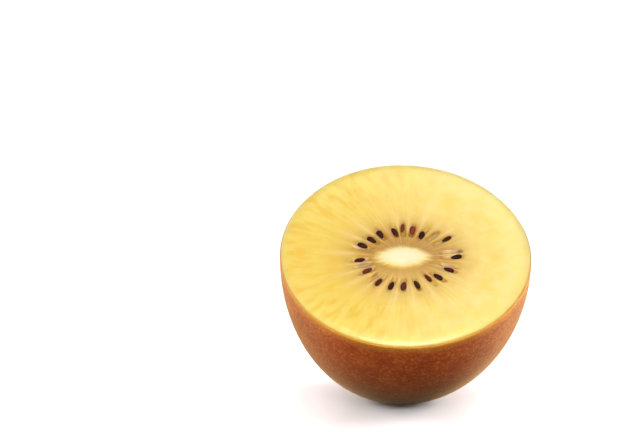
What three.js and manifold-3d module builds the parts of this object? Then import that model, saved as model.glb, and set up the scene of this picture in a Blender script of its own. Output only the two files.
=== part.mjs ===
// Half of a golden kiwi fruit, cut across its middle and resting on its rounded skin, cut face up and tilted forwards.
// Millimetres and degrees. +Z is up, and -Y is the side that the cut face tilts towards.
// The fruit's own frame has the cut plane at z = 0, the fruit's axis along z and the stem end at the bottom.
import * as THREE from "three";
import { mergeVertices } from "three/addons/utils/BufferGeometryUtils.js";
import Module from "manifold-3d";

// Body
const RADIUS = 27; // at the widest section, where the skin ends
const DOME_DEPTH = 37; // from the widest section to the stem end
const DOME_FULLNESS = 2.04; // exponent of the outline; 2 would be an ellipse
const RIM_WIDTH = 3.2; // the rounded edge of the flesh, measured along the cut face
const RIM_DROP = 1.5; // how far that edge falls to the skin
const AXIS_LEAN = 1.1; // how far the stem end stands to the left of the cut face's centre
const OVAL_SHARE = 0.006; // two-sided unevenness of the radius
const OVAL_TURN = 139;
const THREE_SIDED_SHARE = 0.004; // three-sided unevenness of the radius
const THREE_SIDED_TURN = 106;

// Cut face: a pale core, radiating seed chambers and a ring of seeds, all a little nearer the front than the middle
const CENTRE_FORWARD = 1.85;
const CORE_LENGTH = 12; // left to right
const CORE_WIDTH = 6.6; // front to back
const CORE_RISE = 0.35;
const CORE_THICKNESS = 1.6; // of the ellipsoid that the raised core is the top of
const RING_LENGTH = 19.4; // of the seeds' ring, left to right
const RING_WIDTH = 16; // front to back
const CHAMBERS = 24;
const CHAMBER_SCATTER = 0.45; // round the ring, as a share of the step between chambers
const CHAMBER_START = 0.8; // mean share of the way out to the ring where a chamber begins
const CHAMBER_END = 1.2; // and where it ends
const CHAMBER_WIDTH = 1;
const CHAMBER_DEPTH = 0.45;
const SEED_LENGTH = 2.4;
const SEED_WIDTH = 1.35; // of the widest
const SEED_THICKNESS = 1;
const SEED_SINK = 0.1; // how far a seed's middle lies below the cut plane
const SEED_SHARE = 0.72; // of the chambers that show a seed
const SEED_SCATTER = 0.16; // along the chamber, as a share of the ring
const SEED_TWIST = 20; // largest turn away from the chamber's direction
const SEED_SLIMNESS = 0.45; // largest share of the width that a seed lacks

// Seeds of the random draws, chosen so that the fruit's seeds lie about as in the photograph
const DRAWS = { turn: 382650, shown: 312820, out: 672492, twist: 512221, slim: 352692 };

// Stem end
const SCAR_RADIUS = 2.3; // where it meets the skin
const SCAR_TOP_RADIUS = 1.85;
const SCAR_HEIGHT = 0.55;
const SCAR_PIT_RADIUS = 0.8; // at the pit's floor
const SCAR_BRIM_RADIUS = 1.1; // at the pit's mouth
const SCAR_ROOT = 1.2; // how far it reaches into the fruit

// Rest
const TILT = 31; // of the cut face towards -Y
const SPOT_DEPTH = 0.6; // how much of the rounded skin the flat spot takes away

// Facets
const AROUND = 72;
const DOME_STEPS = 20;
const RIM_STEPS = 5;
const FACE_STEPS = 4;
const SMALL_AROUND = 10;
const SMALL_STEPS = 8;
const CORE_AROUND = 28;
const CORE_STEPS = 10;

// Distances below which points count as one, and as lying on the floor
const SAME_POINT = 1e-4;
const ON_FLOOR = 1e-3;

const FLESH_COLOUR = 0xf2cc5c;
const degrees = THREE.MathUtils.degToRad;

const wasm = await Module();
wasm.setup();

// A closed geometry as a solid that can be joined and cut.
function solidOf(geometry) {
  const bare = new THREE.BufferGeometry();
  bare.setAttribute("position", geometry.getAttribute("position"));
  bare.setIndex(geometry.index);
  const merged = mergeVertices(bare, SAME_POINT);
  return new wasm.Manifold(
    new wasm.Mesh({
      numProp: 3,
      vertProperties: new Float32Array(merged.attributes.position.array),
      triVerts: new Uint32Array(merged.index.array),
    }),
  );
}

// A solid back as a geometry with flat facets.
function geometryOf(solid) {
  const mesh = solid.getMesh();
  const geometry = new THREE.BufferGeometry();
  geometry.setAttribute("position", new THREE.BufferAttribute(mesh.vertProperties, 3));
  geometry.setIndex(new THREE.BufferAttribute(mesh.triVerts, 1));
  const facets = geometry.toNonIndexed();
  facets.computeVertexNormals();
  return facets;
}

// The draw for one seed chamber: an even number from 0 to 1 that is the same on every run.
function draw(chamber, seedOfDraws) {
  const x = Math.sin(chamber * 12.9898 + seedOfDraws * 78.233) * 43758.5453;
  return x - Math.floor(x);
}

// Half the outline, from the stem end up the skin, over the rounded rim and in to the middle of the cut face.
function outline() {
  const points = [];
  for (let i = 0; i < DOME_STEPS; i++) {
    const turn = (i / DOME_STEPS) * (Math.PI / 2);
    const power = 2 / DOME_FULLNESS;
    const r = RADIUS * Math.sin(turn) ** power;
    points.push(new THREE.Vector2(r, -RIM_DROP - DOME_DEPTH * Math.cos(turn) ** power));
  }
  for (let i = 0; i < RIM_STEPS; i++) {
    const turn = (i / RIM_STEPS) * (Math.PI / 2);
    const r = RADIUS - RIM_WIDTH * (1 - Math.cos(turn));
    points.push(new THREE.Vector2(r, -RIM_DROP * (1 - Math.sin(turn))));
  }
  for (let i = 0; i <= FACE_STEPS; i++) {
    points.push(new THREE.Vector2((RADIUS - RIM_WIDTH) * (1 - i / FACE_STEPS), 0));
  }
  return points;
}

// Makes the turned body a little uneven: oval, three-sided, and leaning towards the stem end.
function makeUneven(geometry) {
  const p = geometry.getAttribute("position");
  for (let i = 0; i < p.count; i++) {
    const [x, y, z] = [p.getX(i), p.getY(i), p.getZ(i)];
    const angle = Math.atan2(y, x);
    const grow =
      1 +
      OVAL_SHARE * Math.cos(2 * (angle - degrees(OVAL_TURN))) +
      THREE_SIDED_SHARE * Math.cos(3 * (angle - degrees(THREE_SIDED_TURN)));
    const lean = AXIS_LEAN * (z / (RIM_DROP + DOME_DEPTH)) ** 2;
    p.setXYZ(i, x * grow - lean, y * grow, z);
  }
  return geometry;
}

function body() {
  const turned = new THREE.LatheGeometry(outline(), AROUND).rotateX(Math.PI / 2);
  return solidOf(makeUneven(turned));
}

function ellipsoid(length, width, thickness, around = SMALL_AROUND, steps = SMALL_STEPS) {
  return new THREE.SphereGeometry(1, around, steps)
    .rotateX(Math.PI / 2)
    .scale(length / 2, width / 2, thickness / 2);
}

// The pale core, standing a little proud of the cut face.
function core() {
  const middle = CORE_RISE - CORE_THICKNESS / 2;
  const shrink = Math.sqrt(1 - (middle / (CORE_THICKNESS / 2)) ** 2);
  const shape = ellipsoid(CORE_LENGTH / shrink, CORE_WIDTH / shrink, CORE_THICKNESS, CORE_AROUND, CORE_STEPS);
  return solidOf(shape.translate(0, -CENTRE_FORWARD, middle));
}

// Where a chamber meets the ring of seeds, and which way it points.
function chamberAt(index) {
  const turn = ((index + CHAMBER_SCATTER * (2 * draw(index, DRAWS.turn) - 1)) / CHAMBERS) * 2 * Math.PI;
  const out = new THREE.Vector2((RING_LENGTH / 2) * Math.cos(turn), (RING_WIDTH / 2) * Math.sin(turn));
  return { out, heading: Math.atan2(out.y, out.x) };
}

// One seed chamber, as the solid that is taken out of the cut face.
function chamber(index) {
  const { out, heading } = chamberAt(index);
  const length = out.length() * (CHAMBER_END - CHAMBER_START);
  const middle = out.clone().multiplyScalar((CHAMBER_END + CHAMBER_START) / 2);
  const shape = ellipsoid(length, CHAMBER_WIDTH, 2 * CHAMBER_DEPTH).rotateZ(heading);
  return solidOf(shape.translate(middle.x, middle.y - CENTRE_FORWARD, 0));
}

// One seed, lying in its chamber.
function seed(index) {
  const { out, heading } = chamberAt(index);
  const place = out.clone().multiplyScalar(1 + SEED_SCATTER * (2 * draw(index, DRAWS.out) - 1));
  const twist = degrees(SEED_TWIST) * (2 * draw(index, DRAWS.twist) - 1);
  const width = SEED_WIDTH * (1 - SEED_SLIMNESS * draw(index, DRAWS.slim));
  const shape = ellipsoid(SEED_LENGTH, width, SEED_THICKNESS).rotateZ(heading + twist);
  return solidOf(shape.translate(place.x, place.y - CENTRE_FORWARD, -SEED_SINK));
}

// The dry button where the stalk broke off, with a small pit in its middle, facing down.
function stemScar() {
  const profile = [
    [0, SCAR_ROOT],
    [SCAR_RADIUS, SCAR_ROOT],
    [SCAR_RADIUS, 0],
    [SCAR_TOP_RADIUS, -SCAR_HEIGHT],
    [SCAR_BRIM_RADIUS, -SCAR_HEIGHT],
    [SCAR_PIT_RADIUS, -SCAR_HEIGHT / 2],
    [0, -SCAR_HEIGHT / 2],
  ].map(([r, y]) => new THREE.Vector2(r, y));
  const turned = new THREE.LatheGeometry(profile.reverse(), 2 * SMALL_AROUND).rotateX(Math.PI / 2);
  return solidOf(turned.translate(-AXIS_LEAN, 0, -RIM_DROP - DOME_DEPTH));
}

// The whole half in its own frame, before the flat spot.
function fruit() {
  const chambers = Array.from({ length: CHAMBERS }, (_, i) => i);
  let solid = body().add(core()).add(stemScar());
  for (const i of chambers) solid = solid.subtract(chamber(i));
  for (const i of chambers.filter((n) => draw(n, DRAWS.shown) < SEED_SHARE)) solid = solid.add(seed(i));
  return solid;
}

// Tilts the fruit, takes the flat spot off its lowest point and moves that spot's middle to the origin.
function atRest(solid) {
  const tilted = solidOf(geometryOf(solid).rotateX(degrees(TILT)));
  const floor = tilted.boundingBox().min[2] + SPOT_DEPTH;
  const below = new THREE.BoxGeometry(4 * RADIUS, 4 * RADIUS, 2 * RADIUS).translate(0, 0, floor - RADIUS);
  const cut = geometryOf(tilted.subtract(solidOf(below)));
  const p = cut.getAttribute("position");
  const spot = new THREE.Box3();
  const point = new THREE.Vector3();
  for (let i = 0; i < p.count; i++) {
    point.fromBufferAttribute(p, i);
    if (Math.abs(point.z - floor) < ON_FLOOR) spot.expandByPoint(point);
  }
  const middle = spot.getCenter(new THREE.Vector3());
  return cut.translate(-middle.x, -middle.y, -floor);
}

const flesh = new THREE.MeshStandardMaterial({ color: FLESH_COLOUR, roughness: 0.35, metalness: 0 });
const half = new THREE.Mesh(atRest(fruit()), flesh);
half.name = "half_kiwi";

const model = new THREE.Group();
model.add(half);
export default model;
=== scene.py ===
"""Half of a golden kiwi fruit, resting tilted on its skin: flesh, skin, seeds and stem scar."""
import math

import bpy
import numpy as np
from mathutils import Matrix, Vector


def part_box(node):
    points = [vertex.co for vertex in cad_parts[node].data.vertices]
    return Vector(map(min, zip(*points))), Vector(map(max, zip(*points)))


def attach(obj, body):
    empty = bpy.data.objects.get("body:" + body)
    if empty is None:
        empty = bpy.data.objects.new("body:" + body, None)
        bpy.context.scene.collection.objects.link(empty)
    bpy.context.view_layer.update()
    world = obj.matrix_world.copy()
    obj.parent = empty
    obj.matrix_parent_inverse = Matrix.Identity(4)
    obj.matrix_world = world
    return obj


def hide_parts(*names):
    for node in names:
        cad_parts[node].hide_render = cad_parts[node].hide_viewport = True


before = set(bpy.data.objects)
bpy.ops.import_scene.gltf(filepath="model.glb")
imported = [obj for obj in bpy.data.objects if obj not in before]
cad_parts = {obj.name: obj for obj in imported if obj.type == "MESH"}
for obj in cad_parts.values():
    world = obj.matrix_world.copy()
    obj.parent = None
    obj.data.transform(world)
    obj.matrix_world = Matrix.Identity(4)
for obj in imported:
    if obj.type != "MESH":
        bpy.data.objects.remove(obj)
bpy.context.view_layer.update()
NODE = "half_kiwi"
MM = 0.001
FULL_TURN = 2 * math.pi
QUARTER_TURN = math.pi / 2

# The fruit in its own frame, in millimetres and degrees: cut plane at z = 0, stem end down
RADIUS = 27.0
DOME_DEPTH = 37.0
DOME_FULLNESS = 2.04
RIM_WIDTH = 3.2
RIM_DROP = 1.5
AXIS_LEAN = 1.1
OVAL_SHARE, OVAL_TURN = 0.006, 139.0
THREE_SIDED_SHARE, THREE_SIDED_TURN = 0.004, 106.0
TILT = 31.0

# The middle of the cut face
CENTRE_FORWARD = 1.85
CORE_LENGTH, CORE_WIDTH, CORE_RISE = 12.0, 6.6, 0.35
PALE_CORE_X = -0.7
RING_LENGTH, RING_WIDTH = 19.4, 16.0
CHAMBERS, CHAMBER_SCATTER = 24, 0.45
CHAMBER_START, CHAMBER_END, CHAMBER_BLUR = 0.8, 1.2, 0.08
CHAMBER_WIDTH, CHAMBER_DEPTH = 1.0, 0.45
WALL_HEIGHT, RAY_HEIGHT, FIBRE_HEIGHT = 0.1, 0.04, 0.012
SEED_LENGTH, SEED_WIDTH, SEED_THICKNESS = 2.4, 1.35, 1.0
SEED_SINK, SEED_SHARE, SEED_SCATTER = 0.1, 0.72, 0.16
SEED_TWIST, SEED_SLIMNESS = 20.0, 0.45

# Skin and stem end. The bite is how far the flesh reaches into the skin
SKIN_THICKNESS = 0.16
SKIN_BITE = 0.03
HOLLOW_RADIUS, HOLLOW_DEPTH = 4.2, 0.35
PRESSED_SOFTNESS = 0.12

# Points round each surface
FLESH_COLUMNS, SKIN_COLUMNS, SCAR_COLUMNS = 600, 420, 96

# Seeds of the draws: the first five put the fruit's seeds about where the photograph has them
DRAWS = {
    "turn": 382650,
    "shown": 312820,
    "out": 672492,
    "twist": 512221,
    "slim": 352692,
    "shade": 777089,
    "reach": 6,
    "ray": 7,
    "wall": 10,
    "fibres": 11,
    "jelly_side": 14,
    "jelly": 15,
    "core_edge": 21,
    "scar": 31,
}

# The photograph: its size, and where it shows the middle of the cut face, in pixels
PHOTO_SIZE = np.array([618.0, 444.0])
FACE_AT = np.array([405.3, 250.9])
PIXELS_PER_MM = 4.665
CAMERA_ELEVATION = 15.35
CAMERA_DISTANCE = 1.0
SENSOR = 36.0

# The studio, in metres
FLOOR_REACH = 30.0
LIGHTS_AIM = Vector((0, 0, 0.025))


def linear(hex_colour):
    """An sRGB hex colour as linear RGBA."""
    value = np.array([int(hex_colour[i : i + 2], 16) for i in (1, 3, 5)]) / 255
    low = value / 12.92
    high = ((value + 0.055) / 1.055) ** 2.4
    return (*np.where(value <= 0.04045, low, high), 1.0)


def draw(index, name):
    """An even number from 0 to 1 for one chamber, the same on every run. The name says what is drawn."""
    return drawn(index, DRAWS[name])


def drawn(index, seed_of_draws):
    """An even number from 0 to 1 for one index and one seed of draws, the same on every run."""
    x = np.sin(index * 12.9898 + seed_of_draws * 78.233) * 43758.5453
    return x - np.floor(x)


def waves(angle, lowest, highest, name, count=24):
    """A sum of waves round the axis with drawn pitches and phases, about 1 at its largest."""
    i = np.arange(count)
    pitch = np.round(lowest + (highest - lowest) * drawn(i, DRAWS[name]))
    phase = FULL_TURN * drawn(i, DRAWS[name] + 1)
    total = np.cos(pitch * np.asarray(angle)[..., None] + phase).sum(-1)
    return total / (2 * math.sqrt(count / 2))


def smooth_step(low, high, value):
    """0 below low, 1 above high, and an S-shaped rise between."""
    t = np.clip((value - low) / (high - low), 0, 1)
    return t * t * (3 - 2 * t)


def uneven(points):
    """Points in mm with the fruit's unevenness: the radius grows by two waves round the axis, and the axis
    leans."""
    x, y, z = points[..., 0], points[..., 1], points[..., 2]
    angle = np.arctan2(y, x)
    oval = OVAL_SHARE * np.cos(2 * (angle - math.radians(OVAL_TURN)))
    three = THREE_SIDED_SHARE * np.cos(3 * (angle - math.radians(THREE_SIDED_TURN)))
    lean = AXIS_LEAN * (z / (RIM_DROP + DOME_DEPTH)) ** 2
    grow = 1 + oval + three
    return np.stack([x * grow - lean, y * grow, z], axis=-1)


def tilted(points):
    """Points turned about the X axis by the resting tilt."""
    c, s = math.cos(math.radians(TILT)), math.sin(math.radians(TILT))
    x, y, z = points[..., 0], points[..., 1], points[..., 2]
    return np.stack([x, c * y - s * z, s * y + c * z], axis=-1)


def around(r, z, angles):
    """A profile of radii and heights carried round the axis, as rows by angles by 3."""
    r, z = r[:, None], z[:, None]
    return np.stack([r * np.cos(angles), r * np.sin(angles), z + 0 * angles], axis=-1)


def full_circle(count):
    """Angles spaced evenly round the axis."""
    return np.linspace(0, FULL_TURN, count, endpoint=False)


def dome(turns, angles, inset=0.0):
    """The skin's outline, inset by a thickness: a superellipse from the stem end (turn 0) to the widest
    ring."""
    power = 2 / DOME_FULLNESS
    r = (RADIUS - inset) * np.sin(turns) ** power
    z = -RIM_DROP - (DOME_DEPTH - inset) * np.cos(turns) ** power
    return around(r, z, angles)


def rim(turns, angles, inset=0.0):
    """The rounded edge of the cut face: a quarter ellipse from the flat face (turn 0) down to the skin."""
    r = RADIUS - RIM_WIDTH + (RIM_WIDTH - inset) * np.sin(turns)
    return around(r, -RIM_DROP * (1 - np.cos(turns)), angles)


def resting_place():
    """Where the fruit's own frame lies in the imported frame, in mm: the middles of both bodies agree across
    the floor, and their highest points agree in height."""
    angles = np.linspace(0, FULL_TURN, 721)
    quarter = np.linspace(0, QUARTER_TURN, 200)
    body = np.concatenate([dome(quarter, angles), rim(quarter, angles)])
    shape = tilted(uneven(body)).reshape(-1, 3)
    low, high = (np.array(corner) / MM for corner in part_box(NODE))
    place = (low + high - shape.min(0) - shape.max(0)) / 2
    place[2] = high[2] - shape[:, 2].max()
    return place


PLACE = resting_place()


def placed(points):
    """Points of the fruit's own frame, in mm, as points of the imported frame, in metres."""
    return (tilted(points) + PLACE) * MM


def pressed(world, floor):
    """Points in metres that stay above a height in metres for each row: a smooth maximum of the two
    heights."""
    soft = PRESSED_SOFTNESS * MM
    above = world[..., 2] - floor[:, None]
    world[..., 2] = floor[:, None] + (above + np.sqrt(above**2 + soft**2)) / 2
    return world


def wrapped_mesh(name, points, attributes, flip=False):
    """A closed surface over a grid of rows and columns: columns wrap round, and the first and last rows close
    in a fan to their mean. Points are in metres, an attribute holds a number or a vector for each point, and
    flip turns the faces round."""
    rows, columns = points.shape[:2]

    def with_ends(values):
        flat = values.reshape(rows * columns, -1)
        ends = [row.reshape(columns, -1).mean(0) for row in (values[0], values[-1])]
        return np.concatenate([flat, ends])

    index = np.arange(rows * columns).reshape(rows, columns)
    beside = np.roll(index, -1, axis=1)
    quads = np.stack([index[:-1], beside[:-1], beside[1:], index[1:]], axis=-1).reshape(-1, 4)
    first, last = rows * columns, rows * columns + 1
    fans = [
        np.stack([beside[0], index[0], np.full(columns, first)], axis=-1),
        np.stack([index[-1], beside[-1], np.full(columns, last)], axis=-1),
    ]
    order = slice(None, None, -1 if flip else 1)
    faces = [face for part in (quads, *fans) for face in part[:, order].tolist()]
    mesh = bpy.data.meshes.new(name)
    mesh.from_pydata(with_ends(points).tolist(), [], faces)
    for key, values in attributes.items():
        flat = with_ends(values).astype(np.float32)
        kind, field = ("FLOAT_VECTOR", "vector") if flat.shape[1] == 3 else ("FLOAT", "value")
        mesh.attributes.new(key, kind, "POINT").data.foreach_set(field, flat.ravel())
    mesh.shade_smooth()
    piece = bpy.data.objects.new(name, mesh)
    bpy.context.scene.collection.objects.link(piece)
    return piece


def chamber_places():
    """For each chamber, where it crosses the ring of seeds, its heading and its distance from the middle,
    in mm."""
    index = np.arange(CHAMBERS)
    turn = (index + CHAMBER_SCATTER * (2 * draw(index, "turn") - 1)) / CHAMBERS * FULL_TURN
    x, y = RING_LENGTH / 2 * np.cos(turn), RING_WIDTH / 2 * np.sin(turn)
    return index, x, y, np.arctan2(y, x), np.hypot(x, y)


def seed_places():
    """For each chamber, its seed's middle, turn, width and whether the seed shows."""
    index, x, y, heading, _ = chamber_places()
    out = 1 + SEED_SCATTER * (2 * draw(index, "out") - 1)
    turn = heading + math.radians(SEED_TWIST) * (2 * draw(index, "twist") - 1)
    width = SEED_WIDTH * (1 - SEED_SLIMNESS * draw(index, "slim"))
    return x * out, y * out, turn, width, draw(index, "shown") < SEED_SHARE


def chamber_masks(x, y):
    """Masks from 0 to 1 over the cut face: the pits of the chambers, the walls between them, the pale rays
    that run on outwards from the walls, the pale jelly with a painted glint and the brown stain beside each
    seed, and the faint outlines and bodies of seeds that lie just under the surface."""
    masks = {key: np.zeros_like(x) for key in ("pit", "wall", "ray", "jelly", "stain", "ghost", "haze")}
    index, _, _, heading, distance = chamber_places()
    seed_x, seed_y, turn, width, shown = seed_places()

    def add(key, mask):
        masks[key] = np.maximum(masks[key], mask)

    def along_and_across(direction, k):
        c, s = math.cos(direction), math.sin(direction)
        return (x * c + y * s) / distance[k], -x * s + y * c

    for k in index:
        # Along a chamber, 1 is where it crosses the ring. Across it, distances are in mm
        along, across = along_and_across(heading[k], k)
        start = smooth_step(CHAMBER_START - CHAMBER_BLUR, CHAMBER_START + CHAMBER_BLUR, along)
        end = 1 - smooth_step(CHAMBER_END - CHAMBER_BLUR, CHAMBER_END + 0.1, along)
        add("pit", start * end * np.exp(-((across / (0.5 * CHAMBER_WIDTH)) ** 4)))
        # Distances in seed half-sizes, in the seed's own directions
        c, s = math.cos(turn[k]), math.sin(turn[k])
        dx, dy = x - seed_x[k], y - seed_y[k]
        length_way = (c * dx + s * dy) / (SEED_LENGTH / 2)
        width_way = (-s * dx + c * dy) / (width[k] / 2)
        near = np.hypot(length_way, width_way)
        if shown[k]:
            # Pale jelly beside each seed, more often on one side: partly its own colour, partly a painted
            # glint on the wet jelly
            side = 1.1 if draw(k, "jelly_side") < 0.6 else -1.1
            beside = np.hypot(length_way - 0.3, width_way - side)
            add("jelly", (1 - smooth_step(0.2, 1.5, beside)) * (0.3 + 0.7 * draw(k, "jelly")))
            add("stain", 1 - smooth_step(0.8, 2.3, near))
        else:
            add("ghost", np.exp(-(((near - 1) / 0.22) ** 2)))
            add("haze", 1 - smooth_step(0.6, 1.6, near))
        # The wall to the next chamber, and the ray that goes on from it
        step = (heading[(k + 1) % CHAMBERS] - heading[k]) % FULL_TURN
        along, across = along_and_across(heading[k] + step / 2, k)
        inside = smooth_step(0.5, 0.8, along) * (1 - smooth_step(1.25, 1.6, along))
        spread = 0.07 + 0.2 * np.clip(along - 0.5, 0, 1)
        add("wall", inside * np.exp(-((across / spread) ** 2)) * (0.4 + 0.6 * draw(k, "wall")))
        reach = 1.7 + 0.9 * draw(k, "reach")
        outside = smooth_step(1.0, 1.35, along) * (1 - smooth_step(1.3, reach, along))
        spread = 0.25 + 0.35 * np.clip(along, 0, 3)
        add("ray", outside * np.exp(-((across / spread) ** 2)) * (0.15 + 0.85 * draw(k, "ray")))
    return masks


def flesh():
    """The flesh as one closed body. Rows run from the middle of the cut face straight out to its edge, over
    the rounded rim and down inside the skin, and are closest together where the chambers are. The face's
    height is 0, plus the core's low dome, less the chambers' pits, plus thin walls, rays and fibres."""
    angles = full_circle(FLESH_COLUMNS)
    shares = [np.linspace(0.01, 0.2, 12), np.linspace(0.205, 0.56, 72), np.linspace(0.575, 1.0, 34)]
    share = np.concatenate(shares)[:, None]
    edge = RADIUS - RIM_WIDTH
    local_x = share * edge * np.cos(angles)
    local_y = share * (edge * np.sin(angles) + CENTRE_FORWARD)
    masks = chamber_masks(local_x, local_y)
    turn = np.arctan2(local_y, local_x)
    ring = np.hypot(local_x / (RING_LENGTH / 2), local_y / (RING_WIDTH / 2))
    core_ring = np.hypot(local_x / (CORE_LENGTH / 2), local_y / (CORE_WIDTH / 2))
    # Its pale colour is a slightly pointed oval, with its points to the left and right
    pale_x = np.abs(local_x - PALE_CORE_X) / (CORE_LENGTH / 2)
    pale_y = np.abs(local_y) / (CORE_WIDTH / 2)
    core_edge = 0.75 * np.hypot(pale_x, pale_y) + 0.25 * (pale_x + pale_y**1.35)
    core_edge += 0.05 * waves(turn, 5, 40, "core_edge")
    height = CORE_RISE * np.clip(1 - core_ring**2, 0, 1) ** 0.7
    height += WALL_HEIGHT * masks["wall"] + RAY_HEIGHT * masks["ray"] - CHAMBER_DEPTH * masks["pit"]
    fade = smooth_step(0.45, 1.2, ring) * (1 - smooth_step(0.75, 1.0, share))
    height += FIBRE_HEIGHT * waves(turn, 20, 110, "fibres") * fade
    face = np.stack([local_x, local_y - CENTRE_FORWARD, height], axis=-1)
    inset = SKIN_THICKNESS - SKIN_BITE
    edge_rows = rim(np.linspace(0, QUARTER_TURN, 18)[1:], angles, inset)
    inner_rows = dome(np.linspace(QUARTER_TURN, 0.03, 24)[1:], angles, inset)
    points = uneven(np.concatenate([face, edge_rows, inner_rows]))
    masks["core"] = 1 - smooth_step(0.75, 1.18, core_edge)
    masks["heart"] = 1 - smooth_step(0.4, 1.0, core_edge)
    below = np.zeros((len(edge_rows) + len(inner_rows), len(angles)))
    masks = {key: np.concatenate([values, below]) for key, values in masks.items()}
    middle_y = points[..., 1] + CENTRE_FORWARD
    masks["ring"] = np.hypot(points[..., 0] / (RING_LENGTH / 2), middle_y / (RING_WIDTH / 2))
    floor = np.full(len(points), SKIN_THICKNESS * MM)
    return wrapped_mesh("flesh", pressed(placed(points), floor), {"own_mm": points, **masks}, flip=True)


def skin():
    """The skin as a thin closed shell. Rows run from the stem end up the outside, over the cut edge and down
    the inside, and what would lie under the surface that the fruit rests on is pressed flat."""
    angles = full_circle(SKIN_COLUMNS)
    outside = dome(np.linspace(0.02, QUARTER_TURN, 130), angles)
    r = np.hypot(outside[..., 0], outside[..., 1])
    outside[..., 2] += HOLLOW_DEPTH * np.exp(-((r / HOLLOW_RADIUS) ** 2)) * (outside[..., 2] < -RADIUS)
    lip_turn = np.linspace(0, math.pi, 7)[1:-1]
    half = SKIN_THICKNESS / 2
    lip = around(RADIUS - half * (1 - np.cos(lip_turn)), -RIM_DROP + half * np.sin(lip_turn), angles)
    inside = dome(np.linspace(QUARTER_TURN, 0.02, 60), angles, SKIN_THICKNESS)
    points = uneven(np.concatenate([outside, lip, inside]))
    floor = np.zeros(len(points))
    floor[-len(inside) :] = SKIN_THICKNESS * MM
    return wrapped_mesh("skin", pressed(placed(points), floor), {"own_mm": points})


def seed_grid(steps=14, sides=16):
    """One seed of unit half-length along x: a teardrop whose thin end points to -x."""
    t = np.linspace(0.05, math.pi - 0.05, steps)[:, None]
    side = full_circle(sides)
    girth = np.sin(t) * (1 + 0.26 * np.cos(t))
    return np.stack([np.cos(t) + 0 * side, girth * np.cos(side), girth * np.sin(side)], axis=-1)


def seeds():
    """Every seed that shows, lying in its chamber, joined in one piece."""
    seed_x, seed_y, turn, width, shown = seed_places()
    made = []
    for k in np.flatnonzero(shown):
        grid = seed_grid() * np.array([SEED_LENGTH, width[k], SEED_THICKNESS]) / 2
        c, s = math.cos(turn[k]), math.sin(turn[k])
        x = c * grid[..., 0] - s * grid[..., 1] + seed_x[k]
        y = s * grid[..., 0] + c * grid[..., 1] + seed_y[k] - CENTRE_FORWARD
        points = np.stack([x, y, grid[..., 2] - SEED_SINK], axis=-1)
        attributes = {"own_mm": points, "shade": np.full(points.shape[:2], draw(k, "shade"))}
        made.append(wrapped_mesh(f"seed_{k}", placed(points), attributes, flip=True))
    return joined("seeds", made)


def joined(name, made):
    """Several meshes as one piece."""
    first = made[0]
    with bpy.context.temp_override(
        active_object=first, object=first, selected_editable_objects=made, selected_objects=made
    ):
        bpy.ops.object.join()
    first.name = first.data.name = name
    return first


def stem_scar():
    """The dry button at the stem end: a turned outline from its buried top round its edge to the pit in its
    middle, roughened round its edge by waves."""
    outline = np.array(
        [(0.05, 0.9), (2.2, 0.9), (2.5, 0.1), (2.3, -0.25), (1.85, -0.5)]
        + [(1.4, -0.52), (1.1, -0.42), (0.8, -0.2), (0.3, -0.16), (0.05, -0.15)]
    )
    t = np.linspace(0, len(outline) - 1, 60)
    r, z = (np.interp(t, np.arange(len(outline)), outline[:, i]) for i in (0, 1))
    angles = full_circle(SCAR_COLUMNS)
    points = around(r, z, angles)
    rough = 1 + 0.05 * waves(angles, 3, 24, "scar") * smooth_step(0.4, 2.0, r)[:, None]
    points[..., :2] *= rough[..., None]
    points += np.array([-AXIS_LEAN, 0, -RIM_DROP - DOME_DEPTH + HOLLOW_DEPTH])
    return wrapped_mesh("stem_scar", placed(points), {"own_mm": points}, flip=True)


def add_node(tree, kind, inputs=None, stops=(), **settings):
    """Adds a shader node with its settings. inputs maps a socket's name or number to a value or to another
    node's output, and stops are a ramp's positions and hex colours, in order."""
    made = tree.nodes.new(kind)
    for key, value in settings.items():
        setattr(made, key, value)
    for key, value in (inputs or {}).items():
        if isinstance(value, bpy.types.NodeSocket):
            tree.links.new(value, made.inputs[key])
        else:
            made.inputs[key].default_value = value
    if stops:
        ramp = made.color_ramp.elements
        ramp.remove(ramp[1])
        for i, (position, colour) in enumerate(stops):
            stop = ramp.new(position) if i else ramp[0]
            stop.position, stop.color = position, linear(colour)
    return made


def attribute(tree, name, output="Fac"):
    """What an attribute of the mesh holds: a number, or with the output Vector a vector."""
    return add_node(tree, "ShaderNodeAttribute", attribute_name=name).outputs[output]


def noise(tree, where, scale, detail, roughness=0.5):
    """Soft noise around 0.5."""
    inputs = {"Vector": where, "Scale": scale, "Detail": detail, "Roughness": roughness}
    return add_node(tree, "ShaderNodeTexNoise", inputs).outputs[0]


def carried(tree, value, start, end, at_start, at_end, shape="LINEAR"):
    """A value carried from the range start to end over to the range at_start to at_end, held at the ends."""
    inputs = {0: value, 1: start, 2: end, 3: at_start, 4: at_end}
    return add_node(tree, "ShaderNodeMapRange", inputs, interpolation_type=shape).outputs[0]


def calculated(tree, operation, first, second):
    """The result of a calculation with two numbers."""
    return add_node(tree, "ShaderNodeMath", {0: first, 1: second}, operation=operation).outputs[0]


def vector_calculated(tree, operation, *vectors):
    """The result of a calculation with one or two vectors: a number for LENGTH, or else a vector."""
    made = add_node(tree, "ShaderNodeVectorMath", dict(enumerate(vectors)), operation=operation)
    return made.outputs["Value" if operation == "LENGTH" else "Vector"]


def coloured(tree, value, *stops):
    """A colour for each value, from a ramp's positions and hex colours."""
    return add_node(tree, "ShaderNodeValToRGB", {0: value}, stops=stops).outputs[0]


def layered(tree, colour, layers):
    """A colour with others laid over it in order, each by an amount from 0 to 1."""
    for amount, hex_colour in layers:
        inputs = {"Factor": amount, 6: colour, 7: linear(hex_colour)}
        colour = add_node(tree, "ShaderNodeMix", inputs, data_type="RGBA").outputs[2]
    return colour


def bumped(tree, height, strength, depth):
    """The surface's direction with the bump of a height from 0 to 1. The depth is in mm."""
    inputs = {"Strength": strength, "Distance": depth * MM, "Height": height}
    return add_node(tree, "ShaderNodeBump", inputs).outputs[0]


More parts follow.
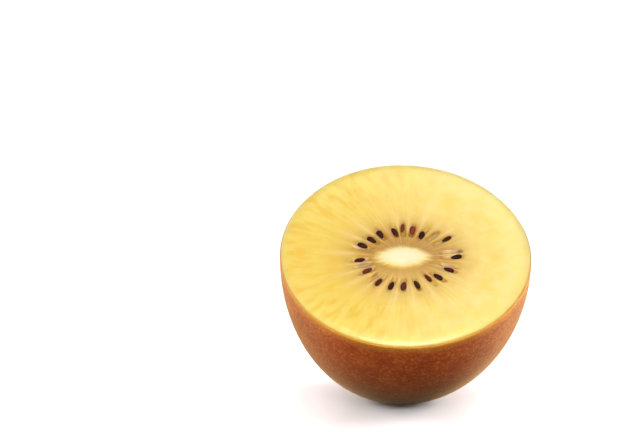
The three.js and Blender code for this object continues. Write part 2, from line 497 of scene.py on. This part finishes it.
def new_material(name, finish):
    """A material whose surface shader gets its sockets from finish, a function of the material's node tree
    that returns what each named socket holds."""
    material = bpy.data.materials.new(name)
    material.use_nodes = True
    tree = material.node_tree
    tree.nodes.clear()
    shader = add_node(tree, "ShaderNodeBsdfPrincipled", finish(tree))
    add_node(tree, "ShaderNodeOutputMaterial", {"Surface": shader.outputs[0]})
    return material


def moist_golden_flesh(tree):
    """Golden kiwi flesh, cut with a knife: soft and translucent, wet, with pale rays round the seeds."""
    own = attribute(tree, "own_mm", "Vector")
    x, y, z = add_node(tree, "ShaderNodeSeparateXYZ", {0: own}).outputs
    ring = attribute(tree, "ring")
    # Streaks: noise over the direction from the middle, which changes slowly along a ray
    shifted = vector_calculated(tree, "ADD", own, (0, CENTRE_FORWARD, 0))
    flat = vector_calculated(tree, "MULTIPLY", shifted, (1, 1, 0))
    heading = vector_calculated(tree, "NORMALIZE", flat)
    distance = vector_calculated(tree, "LENGTH", flat)
    slow = calculated(tree, "MULTIPLY", distance, 0.02)
    drift = add_node(tree, "ShaderNodeCombineXYZ", {2: slow}).outputs[0]
    along = vector_calculated(tree, "ADD", heading, drift)
    fine = noise(tree, along, 18.0, 1.0)
    broad = noise(tree, along, 12.0, 1.0)
    blotch = noise(tree, own, 0.25, 2.0)
    # Ground colour by the distance from the middle: the ring of seeds is at 0.28
    ground = coloured(
        tree,
        calculated(tree, "MULTIPLY", ring, 0.28),
        (0.0, "#e0b85c"),
        (0.14, "#b88404"),
        (0.24, "#c08e10"),
        (0.3, "#d4aa38"),
        (0.4, "#dfba4c"),
        (0.52, "#ebcc54"),
        (0.8, "#f3d96e"),
        (1.0, "#f3d868"),
    )
    # Where each layer of colour lies
    outer = carried(tree, ring, 1.2, 1.7, 0.0, 1.0)
    inner = carried(tree, ring, 0.9, 1.5, 1.0, 0.12)
    around_ring = carried(tree, ring, 0.95, 1.5, 1.0, 0.0)
    # The flesh is deeper to the left and paler to the right: partly its own uneven ripeness, partly painted
    # light, with painted shade to the left and a painted reflected haze to the right
    left = carried(tree, x, -8.0, 8.0, 1.0, 0.3)
    right = carried(tree, x, -12.0, 10.0, 0.1, 1.0)
    # Lighter towards the front round the ring: painted light, with the far side in painted shade
    front = carried(tree, y, -3.0, -9.0, 0.0, 0.7)
    # Paler near the edge on the right: partly the paler outer flesh, partly a painted highlight
    pale_rind_and_highlight = carried(tree, distance, 21.0, 25.0, 0.0, 0.3)
    # Paler on the rounded rim: partly the paler outer flesh, partly a painted highlight and glow on the wet
    # rim
    pale_rim_and_highlight = carried(tree, z, -0.2, -0.9, 0.0, 0.7)
    lowest = carried(tree, z, -0.8, -1.5, 0.0, 0.9)
    light = carried(tree, fine, 0.48, 0.68, 0.0, 0.22)
    dark = carried(tree, fine, 0.48, 0.3, 0.0, 0.2)
    streak = carried(tree, broad, 0.42, 0.68, 0.0, 0.75)
    smoke = carried(tree, broad, 0.35, 0.6, 0.1, 0.5)
    cloud = carried(tree, blotch, 0.3, 0.7, 0.1, 0.6)
    # Deeper streaks to the left and paler clouds to the right: partly painted shade and a painted reflected
    # haze
    deep_streak_and_shade = calculated(tree, "MULTIPLY", streak, left)
    pale = calculated(tree, "MULTIPLY", cloud, right)
    layers = (
        (deep_streak_and_shade, outer, "#eabf36"),
        (pale, outer, "#f7e49a"),
        (light, inner, "#ebca66"),
        (dark, inner, "#b57a1c"),
        (smoke, around_ring, "#b8893a"),
        # Lighter towards the front: painted light
        (front, around_ring, "#e6c05e"),
        (attribute(tree, "ray"), 0.45, "#f6dd98"),
        (attribute(tree, "wall"), 0.5, "#eed07e"),
        (attribute(tree, "stain"), 0.6, "#a5661e"),
        (attribute(tree, "pit"), 0.3, "#b07c3c"),
        # Pale jelly: partly its own colour, partly a painted glint
        (attribute(tree, "jelly"), 0.55, "#efce94"),
        (attribute(tree, "haze"), 0.85, "#94642e"),
        (attribute(tree, "ghost"), 0.25, "#855636"),
        (attribute(tree, "core"), 1.0, "#f2d880"),
        (attribute(tree, "heart"), 0.9, "#f7ebc8"),
        # Partly paler outer flesh, partly a painted highlight on the right edge
        (pale_rind_and_highlight, right, "#fbe698"),
        # Partly paler outer flesh, partly a painted highlight and glow on the rim
        (pale_rim_and_highlight, 1.0, "#fbdc78"),
        (lowest, 1.0, "#dc980f"),
    )
    scaled = [(calculated(tree, "MULTIPLY", amount, share), colour) for amount, share, colour in layers]
    # Juice cells: a grain about a quarter of a millimetre across, as bump and as uneven wetness
    cells = noise(tree, own, 4.0, 2.0)
    relief = calculated(tree, "ADD", cells, fine)
    # Where the flesh ends on the skin it is too thin to glow
    depth = carried(tree, z, -1.3, -0.3, 0.0, 1.0)
    return {
        "Base Color": layered(tree, ground, scaled),
        "Roughness": carried(tree, cells, 0.3, 0.7, 0.24, 0.38),
        "Normal": bumped(tree, relief, 0.25, 0.12),
        "IOR": 1.45,
        "Specular IOR Level": 0.4,
        "Coat Weight": 1.0,
        "Coat Roughness": 0.2,
        "Coat IOR": 1.5,
        "Subsurface Weight": depth,
        "Subsurface Radius": (1.0, 0.6, 0.2),
        "Subsurface Scale": 1.2 * MM,
    }


def bronze_fruit_skin(tree):
    """Thin, dry, bronze-brown skin: matt, with dark specks where hairs grew and a soft downy sheen."""
    own = attribute(tree, "own_mm", "Vector")
    x, _, z = add_node(tree, "ShaderNodeSeparateXYZ", {0: own}).outputs
    mottle = noise(tree, own, 0.16, 4.0, 0.6)
    ground = coloured(tree, mottle, (0.3, "#ae4a1e"), (0.5, "#be5624"), (0.7, "#cb6a30"))
    # Specks 1.3 mm apart, each about 0.3 mm across
    speck = add_node(tree, "ShaderNodeTexVoronoi", {"Vector": own, "Scale": 0.8, "Randomness": 1.0})
    spot = carried(tree, speck.outputs["Distance"], 0.12, 0.3, 0.4, 0.0)
    grain = noise(tree, own, 1.3, 3.0, 0.65)
    # The skin is paler towards its left and right: painted light, as where the side lights and its sheen
    # catch it. It is golden where it thins at the cut, partly its own colour and partly a painted glow of
    # light through the flesh
    layers = (
        (carried(tree, x, 8.0, 27.0, 0.0, 0.35, "SMOOTHSTEP"), "#d2b482"),
        (carried(tree, x, -10.0, -27.0, 0.0, 0.35, "SMOOTHSTEP"), "#cf9f68"),
        (spot, "#6a3014"),
        (carried(tree, grain, 0.45, 0.65, 0.0, 0.55), "#8a3d18"),
        (carried(tree, grain, 0.45, 0.3, 0.0, 0.5), "#dd8f50"),
        # Golden band at the cut: partly the skin's own colour, partly a painted glow of light through the
        # flesh
        (carried(tree, z, -3.5, -1.5, 0.0, 0.5), "#e0a03c"),
    )
    return {
        "Base Color": layered(tree, ground, layers),
        "Roughness": 0.42,
        "Normal": bumped(tree, calculated(tree, "ADD", spot, grain), 0.5, 0.12),
        "IOR": 1.4,
        "Specular IOR Level": 0.3,
        "Sheen Weight": 0.4,
        "Sheen Roughness": 0.3,
        "Sheen Tint": linear("#ffdca0"),
    }


def shiny_seed_coat(tree):
    """Hard seed coats: dark brown to purple-brown, smooth and shiny with juice."""
    shade = attribute(tree, "shade")
    tone = coloured(tree, shade, (0.0, "#2c0e06"), (0.6, "#45180c"), (1.0, "#7c3624"))
    return {"Base Color": tone, "Roughness": 0.4, "IOR": 1.4, "Specular IOR Level": 0.15}


def dry_stem_scar(tree):
    """Dry corky tissue where the stalk broke off: dull, dark and fibrous."""
    grain = noise(tree, attribute(tree, "own_mm", "Vector"), 1.8, 4.0)
    tone = coloured(tree, grain, (0.3, "#24140c"), (0.7, "#6a4326"))
    return {"Base Color": tone, "Roughness": 0.8, "Normal": bumped(tree, grain, 0.7, 0.2)}


def pale_floor(tree):
    """A plain white table."""
    return {"Base Color": linear("#f4efed"), "Roughness": 0.35, "Specular IOR Level": 0.4}


def table():
    """The floor. It sends no light back up to the fruit."""
    side = FLOOR_REACH
    corners = [(-side, -side, 0), (side, -side, 0), (side, side, 0), (-side, side, 0)]
    mesh = bpy.data.meshes.new("floor")
    mesh.from_pydata(corners, [], [(0, 1, 2, 3)])
    mesh.materials.append(new_material("pale_floor", pale_floor))
    floor = bpy.data.objects.new("floor", mesh)
    bpy.context.scene.collection.objects.link(floor)
    floor.visible_diffuse = floor.visible_glossy = False
    return floor


def studio():
    """White surroundings: dim in front and below, bright behind, and brightest just above the horizon."""
    world = bpy.data.worlds.new("studio")
    bpy.context.scene.world = world
    world.use_nodes = True
    tree = world.node_tree
    direction = add_node(tree, "ShaderNodeTexCoord").outputs["Generated"]
    _, y, z = add_node(tree, "ShaderNodeSeparateXYZ", {0: direction}).outputs
    behind = carried(tree, y, -0.9, 0.3, 0.1, 1.2)
    above = carried(tree, z, -0.05, 0.1, 0.03, 1.0)
    overhead = carried(tree, z, 0.1, 0.7, 1.0, 0.25)
    glow = calculated(tree, "MULTIPLY", behind, calculated(tree, "MULTIPLY", above, overhead))
    background = tree.nodes["Background"]
    tree.links.new(glow, background.inputs["Strength"])
    background.inputs["Color"].default_value = linear("#ffffff")


def softbox(name, azimuth, elevation, distance, size, radiance, receivers=()):
    """A soft rectangular light that faces the fruit. Azimuth runs from the front to the right and elevation
    upwards, in degrees; distance and size are in metres. Receivers are the objects that it lights, or all if
    there are none."""
    light = bpy.data.lights.new(name, "AREA")
    light.shape = "RECTANGLE"
    light.size, light.size_y = size
    light.energy = radiance * math.pi * size[0] * size[1]
    turn, rise = math.radians(azimuth), math.radians(elevation)
    out = Vector((math.sin(turn) * math.cos(rise), -math.cos(turn) * math.cos(rise), math.sin(rise)))
    made = bpy.data.objects.new(name, light)
    made.location = LIGHTS_AIM + out * distance
    made.rotation_euler = out.to_track_quat("Z", "Y").to_euler()
    bpy.context.scene.collection.objects.link(made)
    if receivers:
        lit = bpy.data.collections.new(f"lit_by_{name}")
        for receiver in receivers:
            lit.objects.link(receiver)
        made.light_linking.receiver_collection = lit


def lights(pieces, floor):
    """Soft lights: over the cut face, along its front rim, on the skin's front and sides, and on the
    table."""
    softbox("key", 0, 47, 0.6, (0.9, 0.5), 1.3)
    softbox("strip", 0, 30, 0.8, (0.8, 0.16), 7.5)
    softbox("top", 127, 72, 0.16, (0.09, 0.09), 0.9)
    softbox("fill", 0, 6, 1.2, (0.85, 0.36), 6.2, [pieces["flesh"], pieces["seed"]])
    softbox("front", 0, 24, 1.2, (0.85, 0.36), 7.2, [pieces["skin"]])
    softbox("left", -98, 16, 0.5, (0.3, 0.27), 11.5, [pieces["skin"], floor])
    softbox("right", 104, 16, 0.5, (0.3, 0.27), 19.0, [pieces["skin"], floor])
    softbox("table", 165, 80, 0.6, (1.1, 1.1), 1.0, [floor])


def camera():
    """A long lens at the photograph's height, aimed so that the cut face lands where the photograph has
    it."""
    data = bpy.data.cameras.new("camera")
    data.sensor_width = SENSOR
    data.lens = PIXELS_PER_MM / MM * CAMERA_DISTANCE * SENSOR / PHOTO_SIZE[0]
    made = bpy.data.objects.new("camera", data)
    elevation = math.radians(CAMERA_ELEVATION)
    back = np.array([0, -math.cos(elevation), math.sin(elevation)])
    up = np.array([0, math.sin(elevation), math.cos(elevation)])
    offset = (FACE_AT - PHOTO_SIZE / 2) / PIXELS_PER_MM * MM
    target = placed(np.zeros(3)) - np.array([offset[0], 0, 0]) + up * offset[1]
    made.location = target + back * CAMERA_DISTANCE
    made.rotation_euler = (-Vector(back)).to_track_quat("-Z", "Y").to_euler()
    data.clip_start, data.clip_end = 0.05, 20
    bpy.context.scene.collection.objects.link(made)
    bpy.context.scene.camera = made


pieces = {}
for make, finish, slot in (
    (flesh, moist_golden_flesh, "flesh"),
    (skin, bronze_fruit_skin, "skin"),
    (seeds, shiny_seed_coat, "seed"),
    (stem_scar, dry_stem_scar, "stem_scar"),
):
    piece = pieces[slot] = make()
    piece.data.materials.clear()
    piece.data.materials.append(new_material(finish.__name__, finish))
    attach(piece, "root")
    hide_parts(NODE)
camera()
studio()
lights(pieces, table())
bpy.context.scene.view_settings.view_transform = "Standard"
